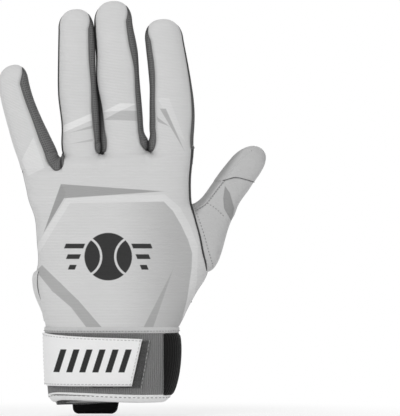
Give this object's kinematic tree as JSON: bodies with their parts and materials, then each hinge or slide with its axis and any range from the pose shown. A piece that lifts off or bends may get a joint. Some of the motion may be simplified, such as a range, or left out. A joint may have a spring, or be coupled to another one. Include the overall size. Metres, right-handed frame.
{
  "type": "catcher's inner glove",
  "caption": "Left-hand padded inner glove with a knit back, leather palm with sewn pads, mesh finger gussets, elastic wristband, wrap strap and pull tab; fingers, thumb, strap and tab move.",
  "frame": {"origin": "middle of the cuff's mouth, in the plane of the hem", "axes": "+Z from the mouth to the fingertips, -Y out of the back of the hand, +X towards the thumb"},
  "size_m": [0.1494, 0.0407, 0.2362],
  "materials": {
    "knit": "fine ribbed stretch knit, light grey white",
    "leather": "soft matte sheepskin, off white",
    "mesh": "open stretch mesh, dark grey",
    "band": "ribbed elastic knit, mid grey",
    "elastic": "black elastic",
    "binding": "white stitched binding",
    "loop": "fuzzy loop pile, charcoal",
    "tab": "black coated webbing"
  },
  "bodies": {
    "hand": {"hand_back": "knit", "hand_palm": "leather", "web_little_ring": "mesh", "web_ring_middle": "mesh", "web_middle_index": "mesh", "palm_pad": "leather", "wrist_back": "band", "wrist_palm": "band", "wrist_gusset": "elastic", "cuff_hem": "binding", "back_band": "binding", "palm_band": "binding", "loop_patch": "loop"},
    "little_base": {"little_base_back": "knit", "little_base_palm": "leather", "little_base_mesh_right": "mesh"},
    "little_end": {"little_end_back": "knit", "little_end_palm": "leather", "little_end_mesh_right": "mesh"},
    "ring_base": {"ring_base_back": "knit", "ring_base_palm": "leather", "ring_base_mesh_left": "mesh", "ring_base_mesh_right": "mesh", "ring_lower_pad": "leather"},
    "ring_end": {"ring_end_back": "knit", "ring_end_palm": "leather", "ring_end_mesh_left": "mesh", "ring_end_mesh_right": "mesh"},
    "middle_base": {"middle_base_back": "knit", "middle_base_palm": "leather", "middle_base_mesh_left": "mesh", "middle_base_mesh_right": "mesh", "middle_lower_pad": "leather"},
    "middle_end": {"middle_end_back": "knit", "middle_end_palm": "leather", "middle_end_mesh_left": "mesh", "middle_end_mesh_right": "mesh"},
    "index_base": {"index_base_back": "knit", "index_base_palm": "leather", "index_base_mesh_left": "mesh", "index_base_mesh_right": "mesh", "index_lower_pad": "leather"},
    "index_end": {"index_end_back": "knit", "index_end_palm": "leather", "index_end_mesh_left": "mesh", "index_end_mesh_right": "mesh", "index_upper_pad": "leather"},
    "thumb_base": {"thumb_base_back": "knit", "thumb_base_palm": "leather"},
    "thumb_end": {"thumb_end_back": "knit", "thumb_end_palm": "leather", "thumb_end_mesh_right": "mesh"},
    "strap": {"strap": "binding", "hook_patch": "elastic"},
    "tab": {"pull_tab": "tab"}
  },
  "joints": [
    {"name": "little_root_bend", "type": "hinge", "parent": "hand", "child": "little_base", "pos_m": [-0.0376, 0.005, 0.134], "axis": [-0.9903, 0, -0.1392], "range_deg": [0, 65]},
    {"name": "little_fold_bend", "type": "hinge", "parent": "little_base", "child": "little_end", "pos_m": [-0.04361, 0.005, 0.15568], "axis": [-0.9903, 0, -0.1392], "range_deg": [0, 80]},
    {"name": "ring_root_bend", "type": "hinge", "parent": "hand", "child": "ring_base", "pos_m": [-0.0151, 0.005, 0.1415], "axis": [-0.9991, 0, -0.0419], "range_deg": [0, 65]},
    {"name": "ring_fold_bend", "type": "hinge", "parent": "ring_base", "child": "ring_end", "pos_m": [-0.01619, 0.005, 0.16748], "axis": [-0.9991, 0, -0.0419], "range_deg": [0, 80]},
    {"name": "middle_root_bend", "type": "hinge", "parent": "hand", "child": "middle_base", "pos_m": [0.009, 0.005, 0.143], "axis": [-0.9973, 0, -0.0732], "range_deg": [0, 65]},
    {"name": "middle_fold_bend", "type": "hinge", "parent": "middle_base", "child": "middle_end", "pos_m": [0.00699, 0.005, 0.17043], "axis": [-0.9973, 0, -0.0732], "range_deg": [0, 80]},
    {"name": "index_root_bend", "type": "hinge", "parent": "hand", "child": "index_base", "pos_m": [0.037, 0.005, 0.1435], "axis": [-0.9971, 0, -0.0767], "range_deg": [0, 65]},
    {"name": "index_fold_bend", "type": "hinge", "parent": "index_base", "child": "index_end", "pos_m": [0.03531, 0.005, 0.16544], "axis": [-0.9971, 0, -0.0767], "range_deg": [0, 80]},
    {"name": "thumb_root_bend", "type": "hinge", "parent": "hand", "child": "thumb_base", "pos_m": [0.05225, 0.004, 0.09345], "axis": [-0.2183, 0, 0.9759], "range_deg": [0, 35]},
    {"name": "thumb_fold_bend", "type": "hinge", "parent": "thumb_base", "child": "thumb_end", "pos_m": [0.06617, 0.004, 0.1174], "axis": [-0.8202, 0, 0.5721], "range_deg": [0, 45]},
    {"name": "strap_open", "type": "hinge", "parent": "hand", "child": "strap", "pos_m": [-0.0368, 0, 0.0239], "axis": [0.0376, 0, -0.9993], "range_deg": [0, 120]},
    {"name": "tab_lift", "type": "hinge", "parent": "hand", "child": "tab", "pos_m": [-0.0055, 0.0187, 0.0342], "axis": [1, 0, 0], "range_deg": [0, 150]}
  ]
}
